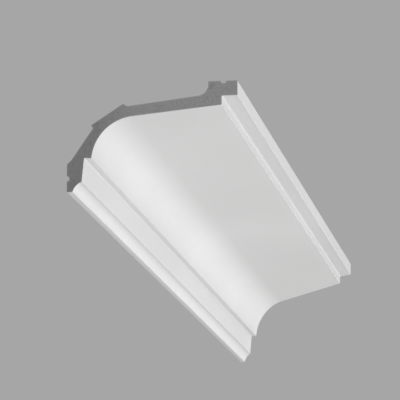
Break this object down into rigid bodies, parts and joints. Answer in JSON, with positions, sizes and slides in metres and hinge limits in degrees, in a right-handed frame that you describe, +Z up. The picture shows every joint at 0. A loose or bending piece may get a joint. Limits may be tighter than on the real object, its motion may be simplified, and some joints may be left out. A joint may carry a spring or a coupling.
{
  "type": "cornice moulding length",
  "caption": "Coved cornice moulding for the corner of a wall and a ceiling, hollow behind, cut square at one end and mitred at the other.",
  "frame": {"origin": "on the wall face, halfway along its length, on the flat strip above its adhesive groove", "axes": "-X into the wall, +X into the room, +Z up to the ceiling, +Y along the length towards the mitred end"},
  "size_m": [0.14, 1.07, 0.0885],
  "materials": {
    "primed_foam": "rigid polyurethane foam with a moulded skin and a smooth white primer on the room side, grey where it is cut"
  },
  "bodies": {
    "root": {"cornice_length": "primed_foam"}
  },
  "joints": []
}
